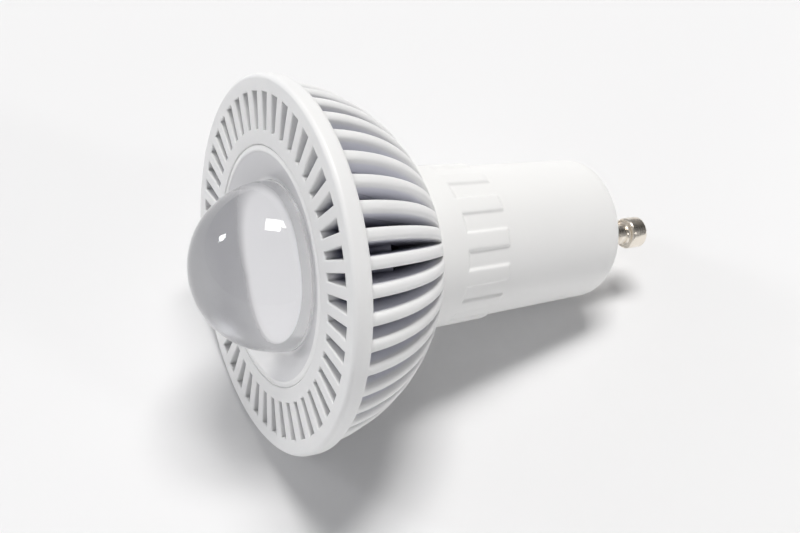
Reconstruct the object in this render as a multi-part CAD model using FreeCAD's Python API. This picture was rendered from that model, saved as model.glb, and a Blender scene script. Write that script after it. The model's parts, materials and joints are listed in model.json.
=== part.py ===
import FreeCAD, Part
import math
import os

# GU10 spotlight lamp with a finned cast housing, a clear dome lens and a plastic base.
# All lengths are millimetres and all angles degrees.
# Each piece is drawn about the lamp's own axis: x is the lamp's upper side, z runs from the
# front face (z = 0) to the pins. The finished lamp is then laid on its rim and base end.

# Cast housing
rim_radius = 27.0
rim_front_round = 1.2
rim_back_round = 0.8
rim_depth = 2.8
rim_land = 2.4
face_plate = 2.2
fin_count = 45
fin_thickness = 1.7
fin_sweep_radius = 24.0
slot_land = 0.6
recess_radius = 17.2
cup_wall = 1.6
cup_floor = 2.0
tube_bore_radius = 5.0
tube_wall = 1.6
void_length = 4.2
collar_web = 1.6
collar_wall = 2.2
neck_radius = 12.4
neck_wall = 1.4
neck_place = 21.6

# Lens, its dish ring and its seat
ring_clearance = 0.1
ring_lip_width = 1.1
ring_lip_drop = 0.2
ring_wall = 1.4
dish_depth = 1.6
dish_lip = 0.5
lens_radius = 12.2
lens_centre = 1.23
lens_clearance = 0.15
lens_flange_width = 1.0
lens_flange = 1.0
lens_back = 1.7
lens_recess_land = 0.4
gasket_thickness = 0.4
seat_clearance = 0.1
seat_flange = 1.0
seat_depth = 2.6
seat_wall = 1.0
reflector_wall = 0.8
reflector_throat_radius = 3.1
reflector_lift = 1.2
diffuser_radius = 7.0
diffuser_thickness = 1.0
diffuser_ledge = 0.7

# Emitter and its board
pad_thickness = 0.3
led_board_radius = 14.5
led_board_thickness = 1.6
led_package_side = 3.5
led_package_height = 0.9
led_chip_side = 1.4
led_chip_height = 0.2
led_dome_radius = 1.5
screw_circle_radius = 12.0
screw_thread_radius = 0.8
screw_hole_clearance = 0.2
screw_head_radius = 1.7
screw_head_height = 1.1
screw_tip = 0.4

# Base and pins
base_step = 0.3
base_draft = 1.0
base_end = 56.3
base_edge_round = 3.0
base_wall = 1.6
base_end_wall = 2.0
spigot_clearance = 0.1
spigot_wall = 1.2
spigot_gap = 0.2
grip_count = 14
grip_height = 0.4
grip_angle = 12.5
grip_turn = 41.8
grip_front_band = 4.6
grip_length = 7.3
grip_root = 0.2
lid_thickness = 1.5
lid_clearance = 0.05
pin_spacing = 10.0
pin_turn = 65.1
pin_neck_radius = 1.6
pin_neck_length = 4.8
pin_head_radius = 2.5
pin_head_length = 3.0
pin_head_round = 0.4
pin_flange_radius = 2.0
pin_flange = 1.0
pin_tail_radius = 0.9
pin_tail = 2.0
pin_clearance = 0.05

# Driver inside the base
board_rear_room = 7.8
board_side_clearance = 0.01
board_thickness = 1.6
board_drop = 3.0
board_gap = 1.0
board_clearance = 0.1
rail_width = 1.6
rail_height = 1.0
rail_length = 18.0
core_length = 9.0
core_width = 11.0
core_height = 8.0
core_side = 1.6
core_leg = 2.6
bobbin_wall = 0.5
bobbin_clearance = 0.1
core_place = 10.2
core_stand = 2.0
core_offset = 0.6
can_radius = 3.3
can_length = 8.6
can_place = 0.8
can_groove_place = 1.6
can_groove_depth = 0.3
input_can_radius = 3.0
input_can_length = 7.0
input_can_inset = 0.2
choke_radius = 2.0
choke_height = 4.6
choke_flange = 0.7
choke_waist_radius = 1.5
choke_side = 5.7
choke_place = 5.6
disc_capacitor_radius = 2.2
disc_capacitor_thickness = 1.8
disc_capacitor_side = -5.6
fuse_radius = 1.0
fuse_length = 5.0
fuse_side = -5.0
fuse_inset = 3.1
chip_height = 1.5
chip_length = 4.9
chip_width = 3.9
chip_place = 7.0
bridge_length = 4.7
bridge_width = 4.0
bridge_height = 1.6
bridge_inset = 0.6
diode_length = 4.3
diode_width = 2.6
diode_height = 2.0
diode_place = 2.4
lead_radius = 0.45
lead_bend = 1.1
led_lead_side = 3.2
led_lead_run = 1.4
led_lead_hold = 3.0
led_lead_lift = 0.05
mains_lead_hold = 2.6
lead_hole_clearance = 0.5

# How far a cut runs past the face it opens
cut_over = 1.0

# Places that follow from the sizes above, along the axis unless a radius is named
half_pitch = 180.0 / fin_count
flange_front = dish_depth + dish_lip
flange_radius = lens_radius + lens_flange_width
flange_back = flange_front + lens_flange
seat_top = flange_back + gasket_thickness
board_front = seat_top + seat_depth
cup_depth = board_front + led_board_thickness + pad_thickness
cup_radius = recess_radius + cup_wall
cup_back = cup_depth + cup_floor
collar_front = cup_back + void_length
collar_bore = neck_radius - neck_wall
spigot_radius = collar_bore - spigot_clearance
spigot_bore = spigot_radius - spigot_wall
collar_radius = collar_bore + collar_wall
collar_seat = collar_front + collar_web
spigot_front = collar_seat + spigot_gap
slot_inner = cup_radius + slot_land
slot_outer = rim_radius - rim_land
fin_front_radius = rim_radius - rim_back_round
ring_radius = recess_radius - ring_clearance
ring_bore = lens_radius + lens_clearance
base_front_radius = neck_radius - base_step
base_rear_radius = base_front_radius - base_draft
base_taper = math.atan((base_front_radius - base_rear_radius) / (base_end - neck_place))
cavity_end = base_end - base_end_wall
pin_radius = pin_spacing / 2
pin_head_front = base_end + pin_neck_length
lid_back = spigot_front + lid_thickness
driver_front = lid_back + board_gap
driver_back = cavity_end - board_rear_room
driver_top = -board_drop
driver_under = -board_drop - board_thickness
cavity_radius = base_rear_radius - base_wall
board_half_width = math.sqrt(cavity_radius ** 2 - driver_under ** 2) - board_side_clearance
lead_height = driver_top + lead_radius


def at(radius, place, angle=0.0):
    """Point at a distance from the axis, a place along it and an angle round it."""
    turn = math.radians(angle)
    return FreeCAD.Vector(radius * math.cos(turn), radius * math.sin(turn), place)


def outline(start, *steps):
    """Closed flat face in the (radius, place) plane; a step is a point, or an arc's middle and end."""
    edges = []
    here = start
    for step in steps + (start,):
        if isinstance(step[0], tuple):
            middle, end = step
            edges.append(Part.Arc(at(*here), at(*middle), at(*end)).toShape())
        else:
            end = step
            edges.append(Part.makeLine(at(*here), at(*end)))
        here = end
    return Part.Face(Part.Wire(edges))


def turned(start, *steps, sweep=360.0):
    """Solid of revolution of an outline about the lamp's axis, centred on angle 0."""
    face = outline(start, *steps)
    face.rotate(FreeCAD.Vector(), FreeCAD.Vector(0, 0, 1), -sweep / 2 if sweep < 360.0 else 0.0)
    return face.revolve(FreeCAD.Vector(), FreeCAD.Vector(0, 0, 1), sweep)


def round_step(radius, place, size, start, end):
    """Arc about a centre, given as its middle and end points, from one angle to another."""
    middle = math.radians((start + end) / 2)
    last = math.radians(end)
    return ((radius + size * math.cos(middle), place + size * math.sin(middle)),
            (radius + size * math.cos(last), place + size * math.sin(last)))


def rod(radius, front, back, x=0.0, y=0.0):
    """Round bar along the axis direction, from one place to another, standing off the axis."""
    return Part.makeCylinder(radius, back - front, FreeCAD.Vector(x, y, front))


def block(size_x, size_y, size_z, x, y, front):
    """Box centred on x and y, starting at a place along the axis."""
    return Part.makeBox(size_x, size_y, size_z, FreeCAD.Vector(x - size_x / 2, y - size_y / 2, front))


def around(shape, angle):
    """Copy of a shape turned about the lamp's axis."""
    copy = shape.copy()
    copy.rotate(FreeCAD.Vector(), FreeCAD.Vector(0, 0, 1), angle)
    return copy


def fin_sweep():
    """Centre of the arc that the fins' outer edges follow, from the rim's back to the neck."""
    rise = fin_front_radius - neck_radius
    run = neck_place - rim_depth
    chord = math.hypot(rise, run)
    back_off = math.sqrt(fin_sweep_radius ** 2 - (chord / 2) ** 2)
    return ((fin_front_radius + neck_radius) / 2 - back_off * run / chord,
            (rim_depth + neck_place) / 2 - back_off * rise / chord)


def fin_edge_step():
    """The fins' outer edge as one arc step of the housing's outline."""
    radius, place = fin_sweep()
    start = math.degrees(math.atan2(rim_depth - place, fin_front_radius - radius))
    end = math.degrees(math.atan2(neck_place - place, neck_radius - radius))
    return round_step(radius, place, fin_sweep_radius, start, end)


def housing_blank():
    """The casting before its gaps: face, rim, cup, tube, web, collar and a solid skirt of fins."""
    tube_radius = tube_bore_radius + tube_wall
    blank = turned(
        (tube_bore_radius, cup_depth),
        (recess_radius, cup_depth),
        (recess_radius, 0.0),
        (rim_radius - rim_front_round, 0.0),
        round_step(rim_radius - rim_front_round, rim_front_round, rim_front_round, -90.0, 0.0),
        (rim_radius, rim_depth - rim_back_round),
        round_step(fin_front_radius, rim_depth - rim_back_round, rim_back_round, 0.0, 90.0),
        fin_edge_step(),
        (collar_bore, neck_place),
        (collar_bore, collar_seat),
        (tube_bore_radius, collar_seat))
    void = turned((tube_radius, cup_back), (cup_radius, cup_back),
                  (collar_radius, collar_front), (tube_radius, collar_front))
    return blank.cut(void)


def gap_cutter():
    """What is open between two fins: a face slot in front, and the deep gap behind it."""
    closing_radius = fin_thickness / 2 / math.sin(math.radians(half_pitch))
    outside = rim_radius + cut_over
    zone = turned((slot_inner, -cut_over), (slot_outer, -cut_over), (slot_outer, rim_depth),
                  (outside, rim_depth), (outside, neck_place), (collar_radius, neck_place),
                  (collar_radius, collar_front), (cup_radius, cup_back), (cup_radius, face_plate),
                  (slot_inner, face_plate), sweep=2 * half_pitch)
    reach = outside - closing_radius
    half_mouth = reach * math.tan(math.radians(half_pitch))
    corners = [FreeCAD.Vector(closing_radius, 0, -cut_over),
               FreeCAD.Vector(outside, -half_mouth, -cut_over),
               FreeCAD.Vector(outside, half_mouth, -cut_over)]
    wedge = Part.Face(Part.makePolygon(corners + corners[:1])).extrude(
        FreeCAD.Vector(0, 0, neck_place + cut_over))
    return zone.common(wedge)


def heat_sink():
    """Cast housing: 45 fins of one thickness between the rim and the neck, with the face's slots."""
    cutter = gap_cutter()
    gaps = [around(cutter, 2 * half_pitch * number) for number in range(fin_count)]
    holes = [rod(screw_thread_radius, cup_depth - cut_over, cup_back + cut_over, x, y)
             for x, y in screw_places()]
    return housing_blank().cut(gaps + holes)


def screw_places():
    """Where the emitter board's two screws stand, across from each other."""
    return [(screw_circle_radius, 0.0), (-screw_circle_radius, 0.0)]


def dish_ring():
    """Ring in the face's recess: a rounded lip, a shallow dish to the lens and a skirt to the floor."""
    lip_edge = ring_radius - ring_lip_width
    skirt = ring_radius - ring_wall
    lip_top = (ring_radius - ring_lip_width / 2, 0.0)
    return turned((ring_radius, ring_lip_drop),
                  (lip_top, (lip_edge, ring_lip_drop)),
                  (ring_bore, dish_depth),
                  (ring_bore, flange_front),
                  (skirt, flange_front),
                  (skirt, cup_depth),
                  (ring_radius, cup_depth))


def dome_lens():
    """Solid clear dome with a short neck, a flange and a shallow recess in its back."""
    recess = lens_radius - lens_recess_land
    return turned((0.0, lens_centre - lens_radius),
                  round_step(0.0, lens_centre, lens_radius, -90.0, 0.0),
                  (lens_radius, flange_front),
                  (flange_radius, flange_front),
                  (flange_radius, flange_back),
                  (recess, flange_back),
                  (recess, lens_back),
                  (0.0, lens_back))


def lens_gasket():
    """Soft flat ring between the lens flange and its seat."""
    return turned((lens_radius - lens_recess_land, flange_back), (flange_radius, flange_back),
                  (flange_radius, seat_top), (lens_radius - lens_recess_land, seat_top))


def lens_seat():
    """Seat behind the lens: a boss in the lens's recess, a pocket for the disc and a reflector cone."""
    boss = lens_radius - lens_recess_land - seat_clearance
    pocket = diffuser_radius + seat_clearance
    pocket_floor = lens_back + diffuser_thickness
    mouth = diffuser_radius - diffuser_ledge
    throat_place = board_front - reflector_lift
    flange_end = ring_radius - ring_wall - seat_clearance
    flange_floor = seat_top + seat_flange
    foot = mouth + reflector_wall + seat_wall
    return turned((pocket, lens_back),
                  (boss, lens_back),
                  (boss, seat_top),
                  (flange_end, seat_top),
                  (flange_end, flange_floor),
                  (foot + seat_wall, flange_floor),
                  (foot + seat_wall, board_front),
                  (foot, board_front),
                  (foot, flange_floor),
                  (mouth + reflector_wall, pocket_floor + reflector_wall),
                  (reflector_throat_radius + reflector_wall, throat_place),
                  (reflector_throat_radius, throat_place),
                  (mouth, pocket_floor),
                  (pocket, pocket_floor))


def diffuser_disc():
    """White disc that lies in the seat's pocket against the lens."""
    return rod(diffuser_radius, lens_back, lens_back + diffuser_thickness)


def lead_holes(front, back):
    """Two round holes for the leads that feed the emitter."""
    hole = lead_radius + lead_hole_clearance
    return [along_pins(rod(hole, front, back, side, lead_height))
            for side in (led_lead_side, -led_lead_side)]


def led_board():
    """Round metal board with two screw holes and two lead holes."""
    back = cup_depth - pad_thickness
    hole = screw_thread_radius + screw_hole_clearance
    screws = [rod(hole, board_front - cut_over, back + cut_over, x, y) for x, y in screw_places()]
    leads = lead_holes(board_front - cut_over, back + cut_over)
    return rod(led_board_radius, board_front, back).cut(screws + leads)


def thermal_pad():
    """Thin soft sheet between the emitter's board and the cup's floor, open at the wire tube."""
    hole = screw_thread_radius + screw_hole_clearance
    screws = [rod(hole, board_front, cup_depth + cut_over, x, y) for x, y in screw_places()]
    sheet = rod(led_board_radius, cup_depth - pad_thickness, cup_depth)
    return sheet.cut(screws + [rod(tube_bore_radius, board_front, cup_depth + cut_over)])


def board_screws():
    """Two pan-head screws that hold the emitter's board on the cup's floor."""
    screws = []
    for x, y in screw_places():
        head = rod(screw_head_radius, board_front - screw_head_height, board_front, x, y)
        shank = rod(screw_thread_radius, board_front, cup_back - screw_tip, x, y)
        screws.append(head.fuse(shank).removeSplitter())
    return Part.makeCompound(screws)


def led_package():
    """Square ceramic body of the emitter, with a shallow well for its chip."""
    front = board_front - led_package_height
    body = block(led_package_side, led_package_side, led_package_height, 0, 0, front)
    return body.cut(block(led_chip_side, led_chip_side, led_chip_height, 0, 0, front))


def led_chip():
    """Light-giving chip, flush in the well of its package."""
    front = board_front - led_package_height
    return block(led_chip_side, led_chip_side, led_chip_height, 0, 0, front)


def led_dome():
    """Half ball of clear silicone over the chip."""
    front = board_front - led_package_height
    return turned((0.0, front - led_dome_radius),
                  round_step(0.0, front, led_dome_radius, -90.0, 0.0),
                  (0.0, front))


def base_radius(place):
    """Outer radius of the tapered base at a place along the axis."""
    return base_rear_radius + (base_end - place) * math.tan(base_taper)


def base_edge():
    """Centre of the round between the base's tapered side and its flat end."""
    radius = (base_rear_radius + base_edge_round * math.tan(base_taper)
              - base_edge_round / math.cos(base_taper))
    return radius, base_end - base_edge_round


def grip_pads():
    """Raised pads round the base's front, joined by a narrow band next to the housing."""
    front = neck_place
    band_end = front + grip_front_band
    back = band_end + grip_length
    root = base_rear_radius - grip_root
    pad = turned((root, front), (base_radius(front) + grip_height, front),
                 (base_radius(back) + grip_height, back), (root, back), sweep=grip_angle)
    band = turned((root, front), (base_radius(front) + grip_height, front),
                  (base_radius(band_end) + grip_height, band_end), (root, band_end))
    return [band] + [around(pad, grip_turn + number * 360.0 / grip_count) for number in range(grip_count)]


def board_rails():
    """Ribs inside the base that hold the driver board's long edges, above and below."""
    front = driver_back - rail_length
    inner = board_half_width - rail_width
    slot_half = board_thickness / 2 + board_clearance
    middle = driver_top - board_thickness / 2
    room = rod(cavity_radius + base_wall / 2, front, driver_back)
    rails = []
    for side in (1, -1):
        for height in (middle + slot_half, middle - slot_half - rail_height):
            low = inner if side > 0 else -base_rear_radius
            rib = Part.makeBox(base_rear_radius - inner, rail_height, rail_length,
                               FreeCAD.Vector(low, height, front))
            rails.append(along_pins(rib.common(room)))
    return rails


def base_shell():
    """Hollow plastic base: a spigot inside the housing's collar, a tapered body and two pin holes."""
    edge_radius, edge_place = base_edge()
    taper = math.degrees(base_taper)
    body = turned((spigot_bore, spigot_front),
                  (spigot_radius, spigot_front),
                  (spigot_radius, neck_place),
                  (base_front_radius, neck_place),
                  (edge_radius + base_edge_round * math.cos(base_taper),
                   edge_place + base_edge_round * math.sin(base_taper)),
                  round_step(edge_radius, edge_place, base_edge_round, taper, 90.0),
                  (0.0, base_end),
                  (0.0, cavity_end),
                  (cavity_radius, cavity_end),
                  (cavity_radius, neck_place),
                  (spigot_bore, neck_place))
    body = body.fuse(grip_pads() + board_rails()).removeSplitter()
    hole = pin_neck_radius + pin_clearance
    holes = [along_pins(rod(hole, cavity_end - cut_over, base_end + cut_over, x))
             for x in (pin_radius, -pin_radius)]
    return body.cut(holes)


def along_pins(shape):
    """Turns a shape drawn with the pins on the x direction to where the pins really are."""
    return around(shape, pin_turn)


def contact_pin(side):
    """Stepped pin: a round head, a thinner neck, a flange inside the end wall and a solder tail."""
    head_back = pin_head_front + pin_head_length
    flange_face = cavity_end - pin_flange
    pin = turned((0.0, flange_face - pin_tail),
                 (pin_tail_radius, flange_face - pin_tail),
                 (pin_tail_radius, flange_face),
                 (pin_flange_radius, flange_face),
                 (pin_flange_radius, cavity_end),
                 (pin_neck_radius, cavity_end),
                 (pin_neck_radius, pin_head_front),
                 (pin_head_radius - pin_head_round, pin_head_front),
                 round_step(pin_head_radius - pin_head_round, pin_head_front + pin_head_round,
                            pin_head_round, -90.0, 0.0),
                 (pin_head_radius, head_back - pin_head_round),
                 round_step(pin_head_radius - pin_head_round, head_back - pin_head_round,
                            pin_head_round, 0.0, 90.0),
                 (0.0, head_back))
    pin.translate(FreeCAD.Vector(side * pin_radius, 0, 0))
    return along_pins(pin)


def insulating_lid():
    """Disc in the mouth of the spigot, with two holes for the leads to the emitter."""
    disc = rod(spigot_bore - lid_clearance, spigot_front, lid_back)
    return disc.cut(lead_holes(spigot_front - cut_over, lid_back + cut_over))


def under_board(length, width, height, front):
    """Box that hangs under the driver board."""
    return along_pins(block(width, height, length, 0, driver_under - height / 2, front))


def driver_board():
    """Circuit board along the axis, with its wide face parallel to the line of the pins."""
    middle = driver_top - board_thickness / 2
    length = driver_back - driver_front
    return along_pins(block(2 * board_half_width, board_thickness, length, 0, middle, driver_front))


def transformer_parts():
    """Ferrite core with two windows, a spool on its middle leg, with a foot, and the winding."""
    place = driver_front + core_place
    middle = driver_top + core_stand + core_height / 2
    core = transformer_core(middle, place)
    centre = place + core_length / 2
    spool_inside = core_leg + 2 * bobbin_clearance
    spool_outside = spool_inside + 2 * bobbin_wall
    length = core_width - 2 * core_side - 2 * bobbin_clearance
    flange = core_length - 2 * core_side - 2 * bobbin_clearance
    leg_space = block(core_width, spool_inside, spool_inside, core_offset, middle,
                      centre - spool_inside / 2)
    spool = block(length, spool_outside, spool_outside, core_offset, middle, centre - spool_outside / 2)
    spool = spool.fuse(block(core_width, core_stand, core_length, core_offset,
                             driver_top + core_stand / 2, place))
    height = (flange + core_height) / 2
    for end in (1, -1):
        plate = block(bobbin_wall, height, flange, core_offset + end * (length - bobbin_wall) / 2,
                      middle + (flange - height) / 2, centre - flange / 2)
        spool = spool.fuse(plate)
    turns = flange - 2 * bobbin_wall
    winding = block(length - 2 * bobbin_wall, turns, turns, core_offset, middle, centre - turns / 2)
    winding = winding.cut(block(core_width, spool_outside, spool_outside, core_offset, middle,
                                centre - spool_outside / 2))
    return [along_pins(piece.removeSplitter()) for piece in (core, spool.cut(leg_space), winding)]


def transformer_core(middle, place):
    """Block with two windows, whose middle leg is thinned to a square bar for the spool."""
    window_width = core_width - 2 * core_side
    window_length = (core_length - 2 * core_side - core_leg) / 2
    leg_front = place + core_side + window_length
    core = block(core_width, core_height, core_length, core_offset, middle, place)
    for front in (place + core_side, leg_front + core_leg):
        core = core.cut(block(window_width, core_height, window_length, core_offset, middle, front))
    extra = (core_height - core_leg) / 2
    for edge in (1, -1):
        core = core.cut(block(window_width, extra, core_leg, core_offset,
                              middle + edge * (core_leg + extra) / 2, leg_front))
    return core


def can(radius, length, front):
    """Capacitor can that lies on the board along the axis, with a rolled groove near its front."""
    body = rod(radius, front, front + length)
    groove = Part.makeTorus(radius, can_groove_depth, FreeCAD.Vector(0, 0, front + can_groove_place))
    body = body.cut(groove)
    body.translate(FreeCAD.Vector(0, driver_top + radius, 0))
    return along_pins(body)


def input_choke():
    """Small drum choke standing on the board: two flanges with a thinner waist."""
    place = driver_front + choke_place
    base = FreeCAD.Vector(choke_side, driver_top, place)
    up = FreeCAD.Vector(0, 1, 0)
    drum = Part.makeCylinder(choke_radius, choke_height, base, up)
    window = Part.makeCylinder(choke_radius + cut_over, choke_height - 2 * choke_flange,
                               base + up * choke_flange, up)
    waist = Part.makeCylinder(choke_waist_radius, choke_height, base, up)
    return along_pins(drum.cut(window.cut(waist)))


def safety_capacitor():
    """Disc capacitor standing on its edge across the board."""
    centre = FreeCAD.Vector(disc_capacitor_side, driver_top + disc_capacitor_radius,
                            driver_front + choke_place - disc_capacitor_thickness / 2)
    return along_pins(Part.makeCylinder(disc_capacitor_radius, disc_capacitor_thickness, centre))


def fuse_resistor():
    """Round resistor that lies along one edge of the board."""
    front = driver_back - fuse_inset - fuse_length
    return along_pins(rod(fuse_radius, front, front + fuse_length, fuse_side, driver_top + fuse_radius))


def lead(points, bend):
    """Round wire through points, as straight runs joined by tangent arcs of one radius."""
    corners = [FreeCAD.Vector(*point) for point in points]
    edges = []
    here = corners[0]
    for before, corner, after in zip(corners, corners[1:], corners[2:]):
        inward = (before - corner).normalize()
        outward = (after - corner).normalize()
        half = inward.getAngle(outward) / 2
        setback = bend / math.tan(half)
        start = corner + inward * setback
        end = corner + outward * setback
        centre = corner + (inward + outward).normalize() * (bend / math.sin(half))
        middle = centre + (corner - centre).normalize() * bend
        edges += [Part.makeLine(here, start), Part.Arc(start, middle, end).toShape()]
        here = end
    edges.append(Part.makeLine(here, corners[-1]))
    path = Part.Wire(edges)
    section = Part.Wire(Part.makeCircle(lead_radius, corners[0], corners[1] - corners[0]))
    return along_pins(path.makePipeShell([section], True, False))


def led_lead(side):
    """Lead from the driver board's front, through the tube, bent over on to the emitter's board."""
    x = side * led_lead_side
    turn = board_front - led_lead_lift - lead_radius
    return lead([(x, lead_height, driver_front + led_lead_hold),
                 (x, lead_height, turn),
                 (x, lead_height - lead_bend - led_lead_run, turn)], lead_bend)


def mains_lead(side):
    """Lead from a pin's tail down to the rear of the driver board."""
    x = side * pin_radius
    tail_end = cavity_end - pin_flange - pin_tail
    middle = (tail_end + driver_back) / 2
    reach = abs(lead_height) / 2
    return lead([(x, 0, tail_end),
                 (x, 0, middle + reach),
                 (x, lead_height, middle - reach),
                 (x, lead_height, driver_back - mains_lead_hold)], lead_bend)


def resting_tilt():
    """Tilt of the axis when the rim's back round and the base's edge round touch the floor."""
    edge_radius, edge_place = base_edge()
    drop = fin_front_radius - edge_radius
    run = edge_place - (rim_depth - rim_back_round)
    reach = math.hypot(run, drop)
    return math.atan2(drop, run) + math.asin((rim_back_round - base_edge_round) / reach)


def resting_placement(tilt, left, right):
    """Lays the lamp on the floor, with the middle of its length over the origin."""
    height = (math.sin(tilt) * (rim_depth - rim_back_round)
              + math.cos(tilt) * fin_front_radius + rim_back_round)
    matrix = FreeCAD.Matrix(math.sin(tilt), 0, math.cos(tilt), -(left + right) / 2,
                            0, -1, 0, 0,
                            math.cos(tilt), 0, -math.sin(tilt), height)
    return FreeCAD.Placement(matrix)


def length_ends(tilt):
    """Left end of the dome and right end of the lower or upper pin head, before centring."""
    left = math.cos(tilt) * lens_centre - lens_radius
    head_back = pin_head_front + pin_head_length
    flat = pin_head_radius - pin_head_round
    offset = pin_radius * abs(math.cos(math.radians(pin_turn)))
    right = (math.cos(tilt) * (head_back - pin_head_round)
             + math.sin(tilt) * (offset + flat) + pin_head_round)
    return left, right


core, bobbin, winding = transformer_parts()
pieces = {
    "heat_sink": heat_sink(),
    "dish_ring": dish_ring(),
    "dome_lens": dome_lens(),
    "lens_gasket": lens_gasket(),
    "lens_seat": lens_seat(),
    "diffuser_disc": diffuser_disc(),
    "led_board": led_board(),
    "thermal_pad": thermal_pad(),
    "board_screws": board_screws(),
    "led_package": led_package(),
    "led_chip": led_chip(),
    "led_dome": led_dome(),
    "base_shell": base_shell(),
    "contact_pin_1": contact_pin(1),
    "contact_pin_2": contact_pin(-1),
    "insulating_lid": insulating_lid(),
    "driver_board": driver_board(),
    "transformer_core": core,
    "transformer_bobbin": bobbin,
    "transformer_winding": winding,
    "output_capacitor": can(can_radius, can_length, driver_front + can_place),
    "input_capacitor": can(input_can_radius, input_can_length,
                           driver_back - input_can_inset - input_can_length),
    "input_choke": input_choke(),
    "safety_capacitor": safety_capacitor(),
    "fuse_resistor": fuse_resistor(),
    "controller_chip": under_board(chip_length, chip_width, chip_height, driver_front + chip_place),
    "bridge_rectifier": under_board(bridge_length, bridge_width, bridge_height,
                                    driver_back - bridge_inset - bridge_length),
    "output_diode": under_board(diode_length, diode_width, diode_height, driver_front + diode_place),
    "led_lead_plus": led_lead(1),
    "led_lead_minus": led_lead(-1),
    "mains_lead_1": mains_lead(1),
    "mains_lead_2": mains_lead(-1),
}

tilt = resting_tilt()
placement = resting_placement(tilt, *length_ends(tilt))
os.makedirs("parts", exist_ok=True)
for name, shape in pieces.items():
    shape.Placement = placement.multiply(shape.Placement)
    shape.exportStep("parts/" + name + ".step")
print("tilt", round(math.degrees(tilt), 3), "pieces", len(pieces))
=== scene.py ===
# %% [markdown]
# # A finned spotlight lamp with a clear dome
#
# The lamp has a white cast housing with 45 fins, a satin dish with a clear dome standing out of it,
# a white plastic base with raised grips, and two nickel pins. It lies on its side on a white table.
# The solid model is loaded first. It fixes every size and place, and this script then builds the
# surfaces that are seen, a little finer than the solids, and gives each of them its finish.

# %% Load the solid model
import json
import math
import bmesh
import bpy
import numpy as np
from mathutils import Matrix, Vector


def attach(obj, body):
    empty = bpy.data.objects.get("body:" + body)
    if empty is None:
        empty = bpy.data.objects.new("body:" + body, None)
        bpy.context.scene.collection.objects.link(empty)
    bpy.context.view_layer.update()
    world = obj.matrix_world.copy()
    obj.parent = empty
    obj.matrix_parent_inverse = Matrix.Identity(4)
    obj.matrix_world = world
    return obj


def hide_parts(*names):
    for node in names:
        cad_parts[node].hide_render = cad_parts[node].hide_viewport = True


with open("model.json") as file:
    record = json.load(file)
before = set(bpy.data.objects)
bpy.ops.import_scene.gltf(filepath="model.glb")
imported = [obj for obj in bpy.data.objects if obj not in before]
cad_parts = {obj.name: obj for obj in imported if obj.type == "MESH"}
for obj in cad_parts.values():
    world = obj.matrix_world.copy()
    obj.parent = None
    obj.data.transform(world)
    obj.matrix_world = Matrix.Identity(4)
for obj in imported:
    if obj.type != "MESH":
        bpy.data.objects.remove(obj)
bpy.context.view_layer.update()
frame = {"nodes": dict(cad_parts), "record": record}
nodes = frame["nodes"]
print("solid pieces:", len(nodes))

# %% [markdown]
# ## Where the lamp lies
#
# Everything on the lamp is round about one axis, so each shape is easiest to state as a distance from
# that axis, an angle round it and a place along it. The mount at the pins gives the axis as it lies on
# the table, and the place of the front face follows from the pins' known distance to it. One function
# turns those three numbers into points on the table, and every surface below goes through it.

# %% The lamp's axis and its three directions
MM = 0.001
PINS_PLACE = 62.6 * MM
pins = next(mount for mount in frame["record"]["mounts"] if mount["name"] == "cap_pins")
along = np.array(pins["axis"]) / np.linalg.norm(pins["axis"])
face_centre = np.array(pins["pos_m"]) - along * PINS_PLACE
side = np.array([0.0, -1.0, 0.0])
upward = np.cross(side, along)


def lay(radius, angle, place):
    """Points at a radius from the axis, an angle round it from its upper side and a place along it."""
    radius, angle, place = np.broadcast_arrays(radius, angle, place)
    out = upward * np.cos(angle)[..., None] + side * np.sin(angle)[..., None]
    return face_centre + out * radius[..., None] + along * place[..., None]


print("axis leans", round(math.degrees(math.asin(-along[2])), 2), "degrees")
print("face centre", face_centre.round(5))

# %% [markdown]
# ## The camera
#
# The photograph looks down on the lamp at about 51 degrees, from the front and to one side. The camera
# was fitted to the ends of the 45 slots, whose places are known, so it is stated here by its place, the
# direction that it looks along and its roll.

# %% Camera
camera_place = Vector((-0.050889, -0.097281, 0.149992))
looks_along = Vector((0.26752, 0.56624, -0.77962))
camera_right = Vector((0.91024, -0.41391, 0.01171))
FOCAL_LENGTH, SENSOR_WIDTH = 50.457, 36.0

camera = bpy.data.objects.new("camera", bpy.data.cameras.new("camera"))
camera.data.lens = FOCAL_LENGTH
camera.data.sensor_width = SENSOR_WIDTH
camera.data.clip_start = 0.005
camera_up = camera_right.cross(looks_along).normalized()
turn = Matrix((camera_right, camera_up, -looks_along)).transposed().to_4x4()
camera.matrix_world = Matrix.Translation(camera_place) @ turn
bpy.context.scene.collection.objects.link(camera)
bpy.context.scene.camera = camera
print("camera looks down by", round(math.degrees(math.asin(-looks_along.z)), 1), "degrees")

# %% [markdown]
# ## Putting a surface into Blender
#
# A surface is a grid of points: rows along a profile, columns round the axis. Neighbouring points make
# four-sided faces, and a grid that is closed round the axis joins its last column to its first. A row
# whose points all fall on the axis is a pole, so points that coincide are merged, which closes it. The
# faces' order decides which way they point, and it is settled once, after the merge.

# %% From arrays to a closed mesh
SHARP = math.radians(35)


def grid_faces(rows, columns, around=True, ring=False):
    """Four-sided faces of a grid of points numbered row by row; around joins its sides, ring its ends."""
    row = np.arange(rows if ring else rows - 1)[:, None]
    column = np.arange(columns if around else columns - 1)[None, :]
    next_row, next_column = (row + 1) % rows, (column + 1) % columns
    corners = [row * columns + column, row * columns + next_column,
               next_row * columns + next_column, next_row * columns + column]
    return np.stack(np.broadcast_arrays(*corners), -1).reshape(-1, 4).tolist()


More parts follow.
